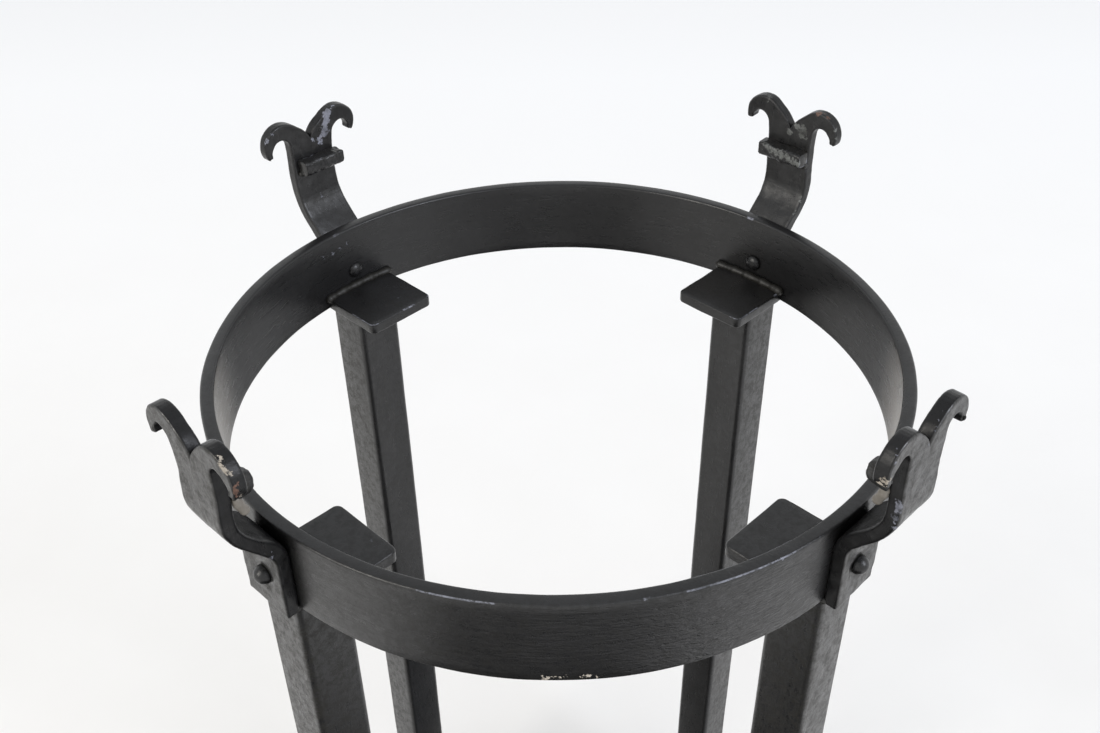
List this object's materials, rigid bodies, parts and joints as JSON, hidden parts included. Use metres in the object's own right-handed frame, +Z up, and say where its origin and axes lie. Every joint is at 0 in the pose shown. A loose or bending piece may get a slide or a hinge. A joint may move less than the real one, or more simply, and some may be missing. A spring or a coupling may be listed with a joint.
{
  "type": "umbrella stand",
  "caption": "Round open umbrella stand: forged iron ring on square-tube legs with ram's-horn brackets and a drip tray that lifts out.",
  "frame": {"origin": "centre of the rectangle round the stand, on the floor under the legs", "axes": "+Z up; the legs and brackets stand on the diagonals of X and Y; -Y is the front"},
  "size_m": [0.314, 0.314, 0.6073],
  "materials": {
    "black_iron": "brushed-on black enamel over forged iron, satin, chipped along some edges",
    "rivet_iron": "hammered heads under black enamel, satin",
    "cap_plastic": "moulded black polyethylene",
    "tray_sheet": "pressed sheet steel, black powder coat"
  },
  "bodies": {
    "stand": {"ring_band": "black_iron", "finial_bracket_front_left": "black_iron", "finial_bracket_front_right": "black_iron", "finial_bracket_back_left": "black_iron", "finial_bracket_back_right": "black_iron", "collar_bar_front_left": "black_iron", "collar_bar_front_right": "black_iron", "collar_bar_back_left": "black_iron", "collar_bar_back_right": "black_iron", "rivet_front_left": "rivet_iron", "rivet_front_right": "rivet_iron", "rivet_back_left": "rivet_iron", "rivet_back_right": "rivet_iron", "support_pad_front_left": "black_iron", "support_pad_front_right": "black_iron", "support_pad_back_left": "black_iron", "support_pad_back_right": "black_iron", "pad_weld_front_left": "black_iron", "pad_weld_front_right": "black_iron", "pad_weld_back_left": "black_iron", "pad_weld_back_right": "black_iron", "leg_tube_front_left": "black_iron", "leg_tube_front_right": "black_iron", "leg_tube_back_left": "black_iron", "leg_tube_back_right": "black_iron", "leg_cap_front_left": "cap_plastic", "leg_cap_front_right": "cap_plastic", "leg_cap_back_left": "cap_plastic", "leg_cap_back_right": "cap_plastic", "cross_bar_lower": "black_iron", "cross_bar_upper": "black_iron", "tray_stud_front_left": "rivet_iron", "tray_stud_front_right": "rivet_iron", "tray_stud_back_left": "rivet_iron", "tray_stud_back_right": "rivet_iron"},
    "tray": {"drip_tray": "tray_sheet"}
  },
  "joints": [
    {"name": "tray_lift", "type": "slide", "parent": "stand", "child": "tray", "axis": [0, 0, 1], "range_m": [0, 0.6]}
  ]
}
